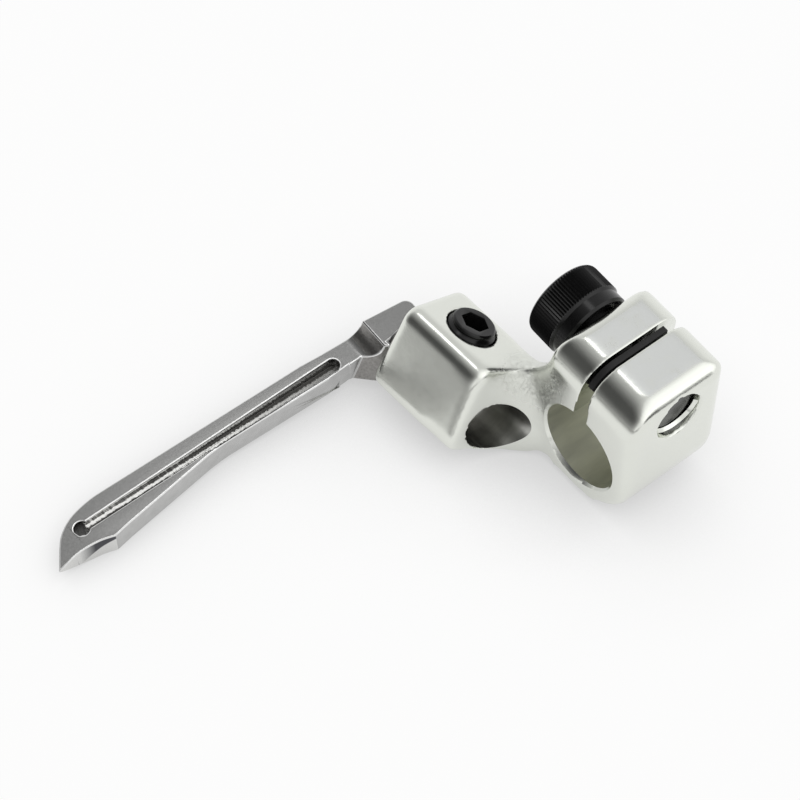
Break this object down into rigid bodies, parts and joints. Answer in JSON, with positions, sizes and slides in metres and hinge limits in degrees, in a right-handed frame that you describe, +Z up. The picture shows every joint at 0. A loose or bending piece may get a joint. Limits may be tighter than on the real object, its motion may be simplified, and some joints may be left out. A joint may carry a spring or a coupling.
{
  "type": "sewing machine looper and holder",
  "caption": "Grooved steel looper with an eye and a point, its round shank held by a set screw in the boss of a split aluminium shaft clamp with a socket head clamp screw.",
  "frame": {"origin": "middle of the bounding box, on the surface that the part lies on", "axes": "+Y along the clamp's shaft bore and away from the looper's point, +Z up through the clamp's slot to the jaw tops, +X along the clamp screw from its head to its tip"},
  "size_m": [0.0382, 0.0688, 0.0223],
  "materials": {
    "holder_aluminium": "tumbled and polished",
    "looper_steel": "ground",
    "black_steel": "black oxide",
    "black_fibre": "matt black"
  },
  "bodies": {
    "holder": {"looper_holder": "holder_aluminium", "slot_shim": "black_fibre"},
    "looper": {"looper": "looper_steel"},
    "clamp_screw": {"clamp_screw": "black_steel"},
    "set_screw": {"set_screw": "black_steel"}
  },
  "joints": [
    {"name": "looper_slide", "type": "slide", "parent": "holder", "child": "looper", "axis": [-0.9978, -0.0663, 0], "range_m": [0, 0.004]},
    {"name": "clamp_screw_turn", "type": "hinge", "parent": "holder", "child": "clamp_screw", "pos_m": [0.00413, 0.02719, 0.0173], "axis": [1, 0, 0], "continuous": true},
    {"name": "set_screw_turn", "type": "hinge", "parent": "holder", "child": "set_screw", "pos_m": [-0.00663, 0.01504, 0.00505], "axis": [-0.0316, 0.4761, 0.8788], "continuous": true}
  ]
}
